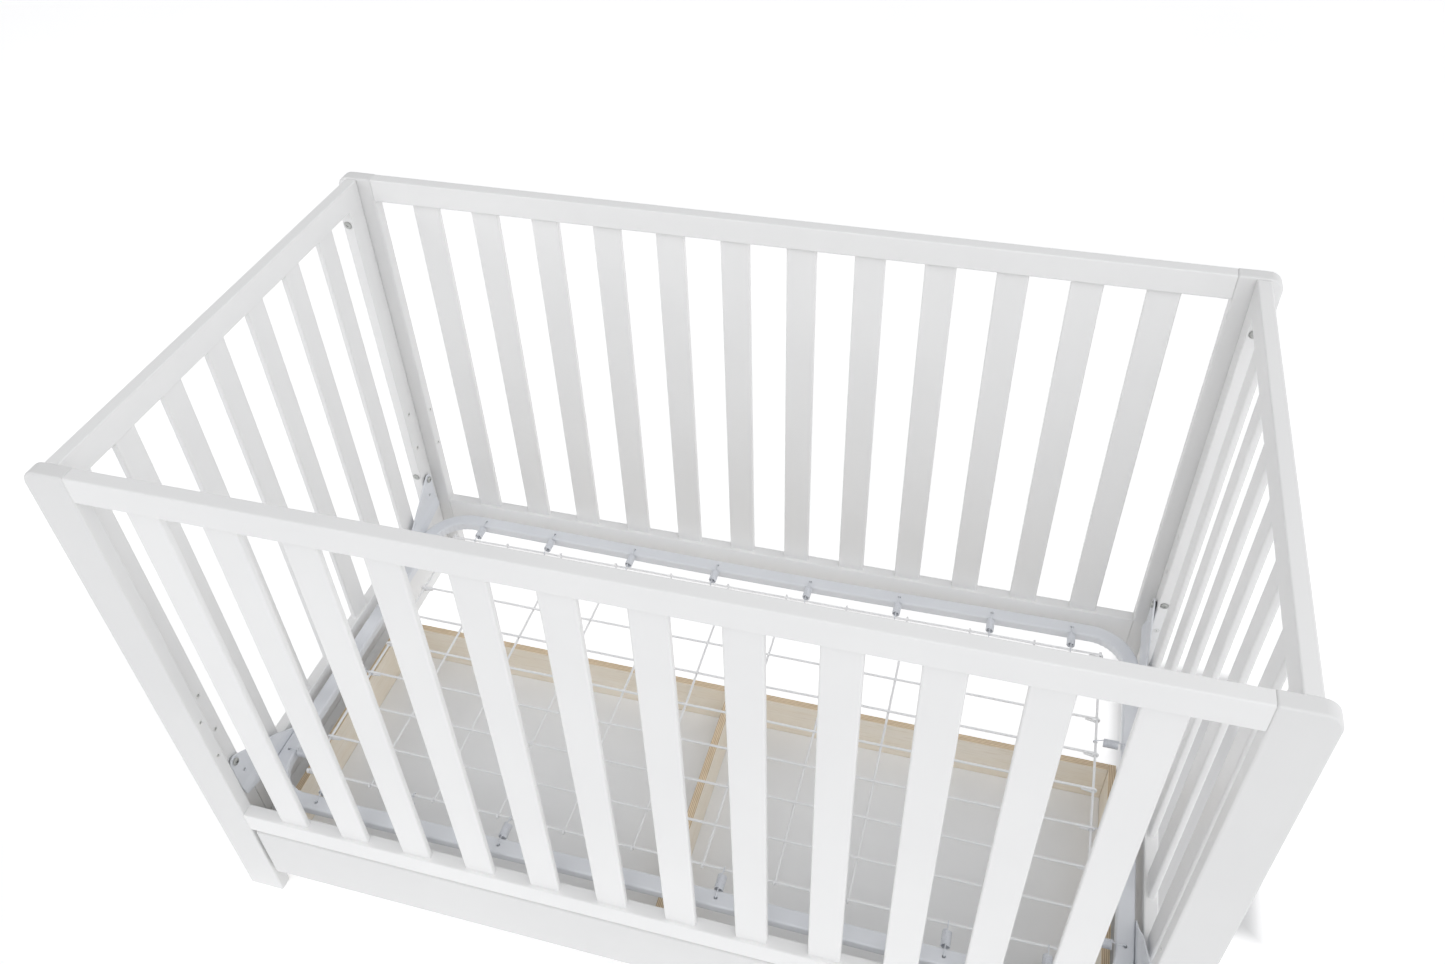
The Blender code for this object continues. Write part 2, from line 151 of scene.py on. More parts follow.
def lobe(tree, direction, power, strength):
    """A soft glow of sky round one direction."""
    sky = tree.nodes.new("ShaderNodeTexCoord")
    facing_it = tree.nodes.new("ShaderNodeVectorMath")
    facing_it.operation = "DOT_PRODUCT"
    facing_it.inputs[1].default_value = direction
    tree.links.new(sky.outputs["Generated"], facing_it.inputs[0])
    value = facing_it.outputs["Value"]
    for operation, amount in (("MAXIMUM", 0.0), ("POWER", power), ("MULTIPLY", strength)):
        value = calculate(tree, operation, value, amount)
    return value


def calculate(tree, operation, value, other):
    """A maths node on a socket and another socket or number."""
    node = tree.nodes.new("ShaderNodeMath")
    node.operation = operation
    tree.links.new(value, node.inputs[0])
    if isinstance(other, (int, float)):
        node.inputs[1].default_value = other
    else:
        tree.links.new(other, node.inputs[1])
    return node.outputs["Value"]


def make_studio():
    """A bright studio that glows from the front, the back and the right, with two weak softboxes."""
    area_light("overhead_softbox", (1.1, -0.7, 2.5), (1.1, -0.7, 0.0), (1.6, 1.2), 8.5)
    area_light("left_softbox", (-3.0, -0.8, 2.2), (0.0, 0.0, 0.5), (2.0, 1.6), 25)
    world = bpy.data.worlds.new("studio")
    world.use_nodes = True
    tree = world.node_tree
    glows = [((0.0, -0.8, 0.6), 4.0, 1.58), ((0.0, 1.0, 0.0), 2.0, 1.22), ((1.0, 0.0, 0.0), 2.0, 1.19),
             ((0.0, 0.0, 1.0), 2.0, 0.05)]
    total = lobe(tree, *glows[0])
    for glow in glows[1:]:
        total = calculate(tree, "ADD", total, lobe(tree, *glow))
    background = tree.nodes["Background"]
    background.inputs["Color"].default_value = (0.985, 0.99, 1.0, 1.0)
    tree.links.new(total, background.inputs["Strength"])
    bpy.context.scene.world = world
    bpy.context.scene.view_settings.view_transform = "Standard"


def ramp_to(tree, value, start, end, low, high):
    """low where value is start or less, high where it is end or more, smooth in between."""
    remap = tree.nodes.new("ShaderNodeMapRange")
    remap.interpolation_type = "SMOOTHSTEP"
    for socket, amount in (("From Min", start), ("From Max", end), ("To Min", low), ("To Max", high)):
        remap.inputs[socket].default_value = amount
    tree.links.new(value, remap.inputs["Value"])
    return remap.outputs["Result"]


def floor_patch(tree, centre, half, soft):
    """1 over a rectangle of the floor, fading to 0 at a distance of soft from its edges."""
    parts = tree.nodes.new("ShaderNodeSeparateXYZ")
    tree.links.new(object_coordinates(tree), parts.inputs["Vector"])
    outside = []
    for axis in (0, 1):
        from_centre = calculate(tree, "SUBTRACT", parts.outputs[axis], centre[axis])
        away = calculate(tree, "ABSOLUTE", from_centre, 0.0)
        outside.append(calculate(tree, "SUBTRACT", away, half[axis]))
    distance = calculate(tree, "MAXIMUM", *outside)
    return ramp_to(tree, distance, 0.0, soft, 1.0, 0.0)


def make_floor():
    """A white sweep that gives its own light, except for painted shade under the drawer and a painted shadow,
    greyer and less lit, beside the right end.
    """
    shape = bmesh.new()
    bmesh.ops.create_grid(shape, x_segments=1, y_segments=1, size=14.0)
    mesh = bpy.data.meshes.new("floor")
    shape.to_mesh(mesh)
    shape.free()
    floor = bpy.data.objects.new("floor", mesh)
    material, tree, shader = new_material("white_sweep", 0.9)
    # painted shadow beside the right end: the floor is greyer there and gives less light
    shade = floor_patch(tree, *PAINTED_SHADOW_PATCH)
    mottle = noise(tree, object_coordinates(tree), 0.8, 3.0)
    white = mix_colours(tree, mottle, (0.86, 0.86, 0.87), (0.90, 0.90, 0.90), None)
    painted_shadow_tint = mix_colours(tree, shade, (1.0, 1.0, 1.0), (PAINTED_SHADOW_GREY, PAINTED_SHADOW_GREY, PAINTED_SHADOW_GREY), None, 0.0, 1.0)
    tree.links.new(multiplied(tree, white, painted_shadow_tint, 1.0), shader.inputs["Base Color"])
    parts = tree.nodes.new("ShaderNodeSeparateXYZ")
    tree.links.new(object_coordinates(tree), parts.inputs["Vector"])
    everywhere = ramp_to(tree, parts.outputs["Y"], *FLOOR_LIGHT_ENDS, *FLOOR_LIGHT)
    glow = calculate(tree, "MULTIPLY", floor_patch(tree, *GLOW_PATCH), FLOOR_GLOW)
    light = calculate(tree, "ADD", glow, everywhere)
    # the floor's light is cut off in the painted shadow beside the right end and the painted shade under the
    # drawer
    for dark in (shade, floor_patch(tree, *PAINTED_SHADE_PATCH)):
        light = calculate(tree, "MULTIPLY", light, ramp_to(tree, dark, 0.0, 1.0, 1.0, 0.0))
    shader.inputs["Emission Color"].default_value = (1.0, 1.0, 1.0, 1.0)
    tree.links.new(light, shader.inputs["Emission Strength"])
    mesh.materials.append(material)
    bpy.context.scene.collection.objects.link(floor)


# ---------------------------------------------------------------- materials

def new_material(name, roughness, metallic=0.0):
    material = bpy.data.materials.new(name)
    material.use_nodes = True
    tree = material.node_tree
    shader = tree.nodes["Principled BSDF"]
    shader.inputs["Roughness"].default_value = roughness
    shader.inputs["Metallic"].default_value = metallic
    return material, tree, shader


def object_coordinates(tree, stretch=(1.0, 1.0, 1.0)):
    """Object coordinates, scaled on each axis. A small scale draws a pattern out along that axis."""
    place = tree.nodes.new("ShaderNodeTexCoord")
    mapping = tree.nodes.new("ShaderNodeMapping")
    mapping.inputs["Scale"].default_value = stretch
    tree.links.new(place.outputs["Object"], mapping.inputs["Vector"])
    return mapping.outputs["Vector"]


def noise(tree, vector, scale, detail=2.0, distortion=0.0):
    texture = tree.nodes.new("ShaderNodeTexNoise")
    texture.inputs["Scale"].default_value = scale
    texture.inputs["Detail"].default_value = detail
    texture.inputs["Distortion"].default_value = distortion
    tree.links.new(vector, texture.inputs["Vector"])
    return texture.outputs["Fac"]


def mix_colours(tree, factor, low, high, target, start=0.3, end=0.7):
    """A ramp from one colour to another, as factor goes from start to end."""
    ramp = tree.nodes.new("ShaderNodeValToRGB")
    ramp.color_ramp.elements[0].position = start
    ramp.color_ramp.elements[0].color = (*low, 1.0)
    ramp.color_ramp.elements[1].position = end
    ramp.color_ramp.elements[1].color = (*high, 1.0)
    tree.links.new(factor, ramp.inputs["Fac"])
    if target:
        tree.links.new(ramp.outputs["Color"], target)
    return ramp.outputs["Color"]


def multiplied(tree, colour, by, amount):
    """One colour times another, by an amount from 0 to 1."""
    blend = tree.nodes.new("ShaderNodeMix")
    blend.data_type = "RGBA"
    blend.blend_type = "MULTIPLY"
    blend.inputs["Factor"].default_value = amount
    tree.links.new(colour, blend.inputs["A"])
    tree.links.new(by, blend.inputs["B"])
    return blend.outputs["Result"]


def spread(tree, factor, low, high, target):
    """Maps a texture's middle range to low..high."""
    remap = tree.nodes.new("ShaderNodeMapRange")
    remap.inputs["From Min"].default_value = 0.3
    remap.inputs["From Max"].default_value = 0.7
    remap.inputs["To Min"].default_value = low
    remap.inputs["To Max"].default_value = high
    tree.links.new(factor, remap.inputs["Value"])
    tree.links.new(remap.outputs["Result"], target)


def bump(tree, shader, height, strength, distance, under=None):
    made = tree.nodes.new("ShaderNodeBump")
    made.inputs["Strength"].default_value = strength
    made.inputs["Distance"].default_value = distance
    tree.links.new(height, made.inputs["Height"])
    if under:
        tree.links.new(under, made.inputs["Normal"])
    tree.links.new(made.outputs["Normal"], shader.inputs["Normal"])
    return made.outputs["Normal"]


def along(axis, share):
    """A stretch that draws a pattern out along one axis: 0, 1 or 2."""
    return tuple(share if index == axis else 1.0 for index in range(3))


def painted_wood(name, axis, tone):
    """White satin lacquer, with the grain just showing through along the board's axis."""
    material, tree, shader = new_material(name, 0.42)
    mottle = noise(tree, object_coordinates(tree), 5.0, 3.0)
    low = (tone - 0.012, tone - 0.012, tone - 0.012)
    high = (tone + 0.012, tone + 0.012, tone + 0.010)
    mix_colours(tree, mottle, low, high, shader.inputs["Base Color"])
    spread(tree, noise(tree, object_coordinates(tree), 40.0, 3.0), 0.37, 0.49, shader.inputs["Roughness"])
    grain = noise(tree, object_coordinates(tree, along(axis, 0.035)), 420.0, 5.0, 0.6)
    peel = noise(tree, object_coordinates(tree), 900.0, 1.0)
    under = bump(tree, shader, grain, 0.16, 0.0003)
    bump(tree, shader, peel, 0.10, 0.0002, under)
    shader.inputs["Coat Weight"].default_value = 0.06
    shader.inputs["Coat Roughness"].default_value = 0.25
    return material


def coated_steel(name, low, high, peel_scale):
    """White powder coat: semi-gloss with a fine orange peel."""
    material, tree, shader = new_material(name, 0.34)
    mottle = noise(tree, object_coordinates(tree), 6.0, 2.0)
    mix_colours(tree, mottle, low, high, shader.inputs["Base Color"])
    spread(tree, noise(tree, object_coordinates(tree), 30.0, 2.0), 0.31, 0.37, shader.inputs["Roughness"])
    peel = noise(tree, object_coordinates(tree), peel_scale, 1.0)
    bump(tree, shader, peel, 0.05, 0.0001)
    return material


def plated_steel(name, low, high, roughness, metallic=1.0):
    """Bright zinc with fine spangle and handling marks."""
    material, tree, shader = new_material(name, roughness, metallic)
    spangle = noise(tree, object_coordinates(tree), 700.0, 4.0, 0.8)
    mix_colours(tree, spangle, low, high, shader.inputs["Base Color"])
    spread(tree, spangle, roughness - 0.08, roughness + 0.12, shader.inputs["Roughness"])
    marks = noise(tree, object_coordinates(tree, (1.0, 0.2, 1.0)), 1500.0, 3.0)
    bump(tree, shader, marks, 0.15, 0.0001)
    return material


def nylon(name, colour):
    material, tree, shader = new_material(name, 0.5)
    speck = noise(tree, object_coordinates(tree), 1200.0, 2.0)
    pale = tuple(part * 1.6 + 0.004 for part in colour)
    mix_colours(tree, speck, colour, pale, shader.inputs["Base Color"])
    bump(tree, shader, speck, 0.2, 0.0001)
    return material


def birch_face(name, axis):
    """Rotary-cut birch veneer under clear lacquer: soft wavy figure, short dark flecks."""
    material, tree, shader = new_material(name, 0.5)
    figure = noise(tree, object_coordinates(tree, along(axis, 0.13)), 26.0, 6.0, 1.6)
    broad = mix_colours(tree, figure, (0.93, 0.84, 0.70), (0.97, 0.90, 0.79), None, 0.28, 0.66)
    flecks = noise(tree, object_coordinates(tree, along(axis, 0.05)), 520.0, 3.0, 0.3)
    dark = mix_colours(tree, flecks, (0.78, 0.71, 0.62), (1.0, 1.0, 1.0), None, 0.30, 0.44)
    tree.links.new(multiplied(tree, broad, dark, 0.35), shader.inputs["Base Color"])
    spread(tree, figure, 0.42, 0.58, shader.inputs["Roughness"])
    bump(tree, shader, flecks, 0.25, 0.0003)
    return material


def ply_edge(name, across, axis):
    """The cut edge of plywood: thin layers, every second one dark end grain, with glue lines."""
    material, tree, shader = new_material(name, 0.62)
    turn = {0: "X", 1: "Y", 2: "Z"}
    layers = tree.nodes.new("ShaderNodeTexWave")
    layers.wave_type = "BANDS"
    layers.bands_direction = turn[across]
    layers.inputs["Scale"].default_value = 118.0
    layers.inputs["Distortion"].default_value = 0.5
    layers.inputs["Detail"].default_value = 3.0
    layers.inputs["Detail Scale"].default_value = 0.35
    tree.links.new(object_coordinates(tree, along(axis, 0.2)), layers.inputs["Vector"])
    bands = mix_colours(tree, layers.outputs["Fac"], (0.62, 0.44, 0.27), (0.90, 0.76, 0.56), None, 0.18, 0.55)
    fibres = noise(tree, object_coordinates(tree, along(axis, 0.06)), 620.0, 4.0)
    tone = mix_colours(tree, fibres, (0.72, 0.68, 0.62), (1.0, 1.0, 1.0), None, 0.3, 0.6)
    tree.links.new(multiplied(tree, bands, tone, 0.6), shader.inputs["Base Color"])
    bump(tree, shader, fibres, 0.35, 0.0004)
    return material


def white_panel(name):
    """Thin white-faced panel with a faint pressed texture."""
    material, tree, shader = new_material(name, 0.45)
    mottle = noise(tree, object_coordinates(tree), 7.0, 4.0)
    mix_colours(tree, mottle, (0.895, 0.90, 0.905), (0.93, 0.935, 0.94), shader.inputs["Base Color"])
    texture = noise(tree, object_coordinates(tree, (0.5, 1.0, 1.0)), 700.0, 3.0)
    spread(tree, texture, 0.40, 0.52, shader.inputs["Roughness"])
    bump(tree, shader, texture, 0.15, 0.0002)
    return material


PAINT = [painted_wood(f"white_lacquer_{letter}", axis, 0.852) for axis, letter in enumerate("xyz")]
# The posts are the same white lacquer as the rails, given a darker tone as painted shade.
POST_PAINTED_SHADE = painted_wood("white_lacquer_posts_painted_shade", 2, 0.77)
# The drawer front is the same white lacquer, given a darker tone as painted shade against the light from the
# floor.
DRAWER_FRONT_PAINTED_SHADE = painted_wood("white_lacquer_drawer_painted_shade", 0, 0.75)
TUBE_COAT = coated_steel("white_powder_coat", (0.765, 0.785, 0.825), (0.785, 0.805, 0.84), 900.0)
WIRE_COAT = coated_steel("white_wire_coat", (0.88, 0.885, 0.895), (0.91, 0.915, 0.92), 1300.0)
SPRING_STEEL = plated_steel("bright_spring_steel", (0.72, 0.74, 0.78), (0.82, 0.84, 0.88), 0.34, 0.3)
ZINC = plated_steel("zinc_plate", (0.42, 0.43, 0.42), (0.60, 0.61, 0.59), 0.36)
BLACK_NYLON = nylon("black_nylon", (0.012, 0.022, 0.028))
WHITE_NYLON = nylon("white_nylon", (0.60, 0.60, 0.59))
PLY_FACE_X = birch_face("birch_veneer_x", 0)
PLY_FACE_Y = birch_face("birch_veneer_y", 1)
PLY_EDGE_X = ply_edge("ply_layers_across_x", 0, 1)
PLY_EDGE_Y = ply_edge("ply_layers_across_y", 1, 0)
PANEL = white_panel("white_faced_panel")


# ---------------------------------------------------------------- making pieces

def new_piece(name, data, materials, body, nodes=()):
    """Puts a piece in the scene, on its body, in place of its CAD nodes."""
    thing = bpy.data.objects.new(name, data)
    for material in materials:
        data.materials.append(material)
    bpy.context.scene.collection.objects.link(thing)
    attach(thing, body)
    if nodes:
        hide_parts(*nodes)
    return thing


def as_mesh(name, shape):
    mesh = bpy.data.meshes.new(name)
    shape.to_mesh(mesh)
    shape.free()
    return mesh


def smooth(thing, angle=40):
    """Round edges shade smooth, flat faces stay flat, and corners over the angle stay sharp."""
    thing.data.shade_smooth()
    thing.data.set_sharp_from_angle(angle=math.radians(angle))
    normals = thing.modifiers.new("flat_faces", "WEIGHTED_NORMAL")
    normals.keep_sharp = True


def box_shape(low, high):
    low = Vector(low)
    high = Vector(high)
    shape = bmesh.new()
    bmesh.ops.create_cube(shape, size=1.0)
    bmesh.ops.scale(shape, vec=high - low, verts=shape.verts)
    bmesh.ops.translate(shape, vec=(low + high) / 2, verts=shape.verts)
    return shape


def round_edges(shape, edges, radius, segments=3):
    bmesh.ops.bevel(shape, geom=edges, offset=radius, offset_type="OFFSET", segments=segments, profile=0.5,
                    affect="EDGES", clamp_overlap=True)


def board_shape(low, high, axis, radius, ends):
    """A board along an axis. Its long edges are rounded, and its ends too where they are seen."""
    shape = box_shape(low, high)
    picked = [edge for edge in shape.edges
              if ends or abs((edge.verts[0].co - edge.verts[1].co)[axis]) > 0.5 * (high[axis] - low[axis])]
    round_edges(shape, picked, radius)
    return shape


def stretched_box(node, axis, extra):
    """A CAD node's box, made longer at both ends by extra."""
    low, high = (list(corner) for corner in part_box(node))
    low[axis] -= extra
    high[axis] += extra
    return low, high


def painted_board(node, axis, radius=EDGE_RADIUS, extra=0.0, set_back=0.0):
    low, high = stretched_box(node, axis, extra)
    low[1] += set_back
    high[1] -= set_back
    mesh = as_mesh(node, board_shape(low, high, axis, radius, False))
    smooth(new_piece(node + "_piece", mesh, [PAINT[axis]], CRIB, [node]))


def cut(thing, cutter_shape):
    """Cuts a shape out of a piece and keeps the result as its mesh."""
    cutter = bpy.data.objects.new("cutter", as_mesh("cutter", cutter_shape))
    bpy.context.scene.collection.objects.link(cutter)
    modifier = thing.modifiers.new("cut", "BOOLEAN")
    modifier.operation = "DIFFERENCE"
    modifier.solver = "EXACT"
    modifier.object = cutter
    while thing.modifiers[0] != modifier:
        bpy.context.view_layer.objects.active = thing
        thing.modifiers.move(len(thing.modifiers) - 1, 0)
    others = [(other, other.show_viewport) for other in thing.modifiers if other != modifier]
    for other, _ in others:
        other.show_viewport = False
    bpy.context.view_layer.update()
    evaluated = thing.evaluated_get(bpy.context.evaluated_depsgraph_get())
    mesh = bpy.data.meshes.new_from_object(evaluated)
    thing.modifiers.remove(modifier)
    thing.data = mesh
    for other, shown in others:
        other.show_viewport = shown
    bpy.data.objects.remove(cutter)


def add_cylinder(shape, centre, axis, radius, depth, segments=32):
    """Adds a cylinder along a world axis to a shape."""
    turn = {0: Matrix.Rotation(math.pi / 2, 4, "Y"), 1: Matrix.Rotation(math.pi / 2, 4, "X"),
            2: Matrix.Identity(4)}[axis]
    bmesh.ops.create_cone(shape, cap_ends=True, segments=segments, radius1=radius, radius2=radius,
                          depth=depth, matrix=Matrix.Translation(centre) @ turn)


def turned_mesh(name, profile, steps=32):
    """A turned shape about Z from (radius, height) points that run from the top down."""
    shape = bmesh.new()
    points = [shape.verts.new((radius, 0.0, height)) for radius, height in profile]
    edges = [shape.edges.new(pair) for pair in zip(points, points[1:])]
    bmesh.ops.spin(shape, geom=points + edges, axis=(0, 0, 1), cent=(0, 0, 0), angle=2 * math.pi, steps=steps)
    bmesh.ops.remove_doubles(shape, verts=shape.verts, dist=0.00001)
    bmesh.ops.recalc_face_normals(shape, faces=shape.faces)
    return as_mesh(name, shape)


def facing(location, direction):
    """A placement whose +Z looks along direction."""
    turn = Vector(direction).to_track_quat("Z", "Y").to_matrix().to_4x4()
    return Matrix.Translation(location) @ turn


def placed_copy(name, mesh, placement, material, body, nodes=()):
    copy = mesh.copy()
    copy.transform(placement)
    piece = new_piece(name, copy, [material], body, nodes)
    piece.data.shade_smooth()
    piece.data.set_sharp_from_angle(angle=math.radians(35))
    return piece


def wire(name, points, radius, material, body, nodes=(), sides=3):
    curve = bpy.data.curves.new(name, "CURVE")
    curve.dimensions = "3D"
    curve.bevel_depth = radius
    curve.bevel_resolution = sides
    curve.use_fill_caps = True
    spline = curve.splines.new("POLY")
    spline.points.add(len(points) - 1)
    for spline_point, point in zip(spline.points, points):
        spline_point.co = (*point, 1.0)
        spline_point.radius = 1.0
    spline.use_smooth = True
    return new_piece(name, curve, [material], body, nodes)


def arc(centre, radius, start, end, steps):
    """Points of an arc in a plane, with its angles in degrees, both ends included."""
    points = []
    for step in range(steps + 1):
        angle = math.radians(start + (end - start) * step / steps)
        points.append((centre[0] + radius * math.cos(angle), centre[1] + radius * math.sin(angle)))
    return points


# ---------------------------------------------------------------- woodwork

def post(node, side_x):
    low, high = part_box(node)
    radius = POST_CORNER_RADIUS
    outer, inner = (high[0], low[0]) if side_x > 0 else (low[0], high[0])
    corner = arc((outer - side_x * radius, high[2] - radius), radius, 0, 90, 14)
    if side_x < 0:
        middle = outer + radius
        corner = [(2 * middle - x, z) for x, z in corner]
    outline = [(inner, low[2]), (outer, low[2])] + corner + [(inner, high[2])]
    shape = extruded(outline, 1, low[1], high[1])
    sharp = [edge for edge in shape.edges if edge.calc_face_angle(0) > math.radians(30)]
    round_edges(shape, sharp, POST_EDGE_RADIUS)
    piece = new_piece(node + "_piece", as_mesh(node, shape), [POST_PAINTED_SHADE], CRIB, [node])
    bores = bmesh.new()
    middle_y = (low[1] + high[1]) / 2
    for height in POST_INSERT_HEIGHTS:
        add_cylinder(bores, (inner, middle_y, height), 0, INSERT_RADIUS + 0.0001, 0.024)
    cut(piece, bores)
    smooth(piece)
    for number, height in enumerate(POST_INSERT_HEIGHTS):
        insert(f"{node}_insert_{number + 1}", (inner, middle_y, height), (-side_x, 0, 0))


def insert(name, location, direction):
    """A pressed-in sleeve: a thin rim round a dark bore."""
    rim = 0.00025
    depth = 0.0112
    profile = [(0.0, 0.001 - depth), (INSERT_BORE, 0.001 - depth), (INSERT_BORE, 0.0),
               (INSERT_BORE + 0.0003, rim), (INSERT_RADIUS - 0.0004, rim), (INSERT_RADIUS, 0.0),
               (INSERT_RADIUS, -depth), (0.0, -depth)]
    mesh = turned_mesh(name, profile)
    placed_copy(name, mesh, facing(location, direction), WHITE_NYLON, CRIB)


def long_side(name):
    post(name + "_left_post", -1)
    post(name + "_right_post", 1)
    painted_board(name + "_top_rail", 0, extra=GAP, set_back=RAIL_SET_BACK)
    painted_board(name + "_bottom_rail", 0, extra=GAP, set_back=RAIL_SET_BACK)
    number = 1
    while f"{name}_slat_{number:02d}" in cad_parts:
        painted_board(f"{name}_slat_{number:02d}", 2, SLAT_RADIUS, extra=GAP)
        number += 1


def extruded(outline, axis, low, high):
    """A closed solid whose outline, on the other two axes in order, is drawn out along one axis."""
    shape = bmesh.new()
    corners = []
    for first, second in outline:
        place = [first, second]
        place.insert(axis, low)
        corners.append(shape.verts.new(place))
    face = shape.faces.new(corners)
    grown = bmesh.ops.extrude_face_region(shape, geom=[face])["geom"]
    step = Vector([high - low if index == axis else 0.0 for index in range(3)])
    moved = [part for part in grown if isinstance(part, bmesh.types.BMVert)]
    bmesh.ops.translate(shape, vec=step, verts=moved)
    bmesh.ops.recalc_face_normals(shape, faces=shape.faces)
    shape.normal_update()
    return shape


def end_frame(name, side_x):
    """An end panel's two uprights and top rail, joined flush, bored for its bolts and inserts."""
    front_low, front_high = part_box(name + "_front_stile")
    back_low, back_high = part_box(name + "_back_stile")
    rail_low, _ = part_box(name + "_top_rail")
    foot, top = front_low[2], front_high[2]
    outline = [(front_low[1], foot), (front_high[1], foot), (front_high[1], rail_low[2]),
               (back_low[1], rail_low[2]), (back_low[1], foot), (back_high[1], foot), (back_high[1], top),
               (front_low[1], top)]
    shape = extruded(outline, 0, front_low[0], front_high[0])
    round_edges(shape, [edge for edge in shape.edges if edge.is_convex], EDGE_RADIUS)
    nodes = [name + "_front_stile", name + "_back_stile", name + "_top_rail"]
    mesh = as_mesh(name + "_frame", shape)
    piece = new_piece(name + "_frame", mesh, [PAINT[2]], CRIB, nodes)
    inner_x = front_low[0] if side_x > 0 else front_high[0]
    middle_x = (front_low[0] + front_high[0]) / 2
    face_y = CAD_BOX[1][1]
    bores = bmesh.new()
    fixings = []
    for place_name, side_y in (("front", -1), ("back", 1)):
        inner_y = side_y * back_low[1]
        for number, height in enumerate(STILE_INSERT_HEIGHTS):
            place = (inner_x, side_y * (face_y - BOLT_INSET), height)
            add_cylinder(bores, place, 0, INSERT_RADIUS + 0.0001, 0.024)
            fixings.append((f"{name}_{place_name}_insert_{number + 1}", place, (-side_x, 0, 0), None))
        for number, height in enumerate(EDGE_BOLT_HEIGHTS):
            place = (middle_x, inner_y, height)
            add_cylinder(bores, place, 1, BOLT_SEAT_RADIUS + 0.0004, 0.005)
            fixings.append((f"{name}_{place_name}_bolt_{number + 1}", place, (0, -side_y, 0), EDGE_BOLT))
        place = (middle_x, inner_y, PLUG_HEIGHT)
        add_cylinder(bores, place, 1, INSERT_RADIUS + 0.0006, 0.024)
        fixings.append((f"{name}_{place_name}_plug", place, (0, -side_y, 0), PLUG))
    cut(piece, bores)
    smooth(piece)
    for fixing_name, place, direction, mesh in fixings:
        if mesh is None:
            insert(fixing_name, place, direction)
        elif mesh is PLUG:
            placed_copy(fixing_name, mesh, facing(place, direction), WHITE_NYLON, CRIB)
        else:
            placed_copy(fixing_name, mesh, facing(place, direction), ZINC, CRIB)


def end_panel(name, side_x):
    end_frame(name, side_x)
    node = name + "_slat_panel"
    low, high = stretched_box(node, 1, GAP)
    board_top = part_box("front_bottom_rail")[1][2]
    slat_top = high[2] + GAP
    shape = board_shape(low, (high[0], high[1], board_top), 1, EDGE_RADIUS, False)
    board = new_piece(name + "_bottom_board", as_mesh(node, shape), [PAINT[1]], CRIB, [node])
    smooth(board)
    middle_x = (low[0] + high[0]) / 2
    corner = Vector((SLAT_THICKNESS / 2, END_SLAT_WIDTH / 2, 0))
    for number in range(END_SLAT_COUNT):
        middle_y = (number - (END_SLAT_COUNT - 1) / 2) * END_SLAT_PITCH
        start = Vector((middle_x, middle_y, board_top)) - corner
        end = Vector((middle_x, middle_y, slat_top)) + corner
        mesh = as_mesh(node, board_shape(start, end, 2, SLAT_RADIUS, False))
        smooth(new_piece(f"{name}_slat_{number + 1}", mesh, [PAINT[2]], CRIB, [node]))


# ---------------------------------------------------------------- bolts and plugs

def socket_bolt_mesh(name, radius, height, shank_radius, shank_length, socket):
    """A domed head with a hexagon socket, looking along +Z from the face that it clamps."""
    dome = [(radius * math.cos(angle), height * (0.35 + 0.65 * math.sin(angle)))
            for angle in [math.radians(90 - 15 * step) for step in range(7)]]
    profile = dome + [(radius, 0.0), (shank_radius, 0.0), (shank_radius, -shank_length), (0.0, -shank_length)]
    thing = bpy.data.objects.new(name, turned_mesh(name, profile))
    bpy.context.scene.collection.objects.link(thing)
    hexagon = bmesh.new()
    add_cylinder(hexagon, (0, 0, height), 2, socket, height * 1.4, segments=6)
    cut(thing, hexagon)
    mesh = thing.data
    bpy.data.objects.remove(thing)
    return mesh


EDGE_BOLT = socket_bolt_mesh("edge_bolt", BOLT_SEAT_RADIUS - 0.0004, 0.0014, 0.003, 0.0022, 0.0024)
BRACKET_BOLT = socket_bolt_mesh("bracket_bolt", 0.0062, 0.0036, 0.003, 0.0055, 0.0023)
PLUG = turned_mesh("plug", [(0.0, -0.0060), (0.0012, -0.0060), (0.0012, 0.0001), (0.0016, 0.0005),
                            (INSERT_RADIUS, 0.0004), (INSERT_RADIUS + 0.0004, 0.0), (INSERT_RADIUS, -0.010),
                            (0.0, -0.010)])
WASHER = turned_mesh("washer", [(0.0033, WASHER_THICKNESS), (0.0060, WASHER_THICKNESS),
                                (0.0066, WASHER_THICKNESS - 0.0006), (0.0066, 0.0006), (0.0060, 0.0),
                                (0.0033, 0.0), (0.0033, WASHER_THICKNESS)])


# ---------------------------------------------------------------- the mattress frame

def bow(x):
    """How far a long side of the tube stands inwards at x, between its bends."""
    share = x / (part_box("mattress_frame")[1][0] - FRAME_CORNER_RADIUS)
    return TUBE_BOW * (1 - share * share) ** 2 if abs(share) < 1 else 0.0


def ring_stations(length, width, radius, per_bend, per_side):
    """The ring's middle line: (point, outward direction, share of a bend, distance along the bend)."""
    stations = []
    corners = [(1, 1), (-1, 1), (-1, -1), (1, -1)]
    centres = [Vector((x * (length / 2 - radius), y * (width / 2 - radius), 0.0)) for x, y in corners]
    for quarter, centre in enumerate(centres):
        for step in range(per_bend + 1):
            share = step / per_bend
            angle = math.radians(90 * (quarter + share))
            outward = Vector((math.cos(angle), math.sin(angle), 0.0))
            bent = math.sin(math.pi * share) ** 0.6 if 0 < share < 1 else 0.0
            stations.append((centre + radius * outward, outward, bent, share * radius * math.pi / 2))
        following = centres[(quarter + 1) % 4]
        for step in range(1, per_side):
            middle = centre.lerp(following, step / per_side)
            inwards = bow(middle.x) if quarter % 2 == 0 else 0.0
            stations.append((middle + (radius - inwards) * outward, outward, 0.0, 0.0))
    return stations


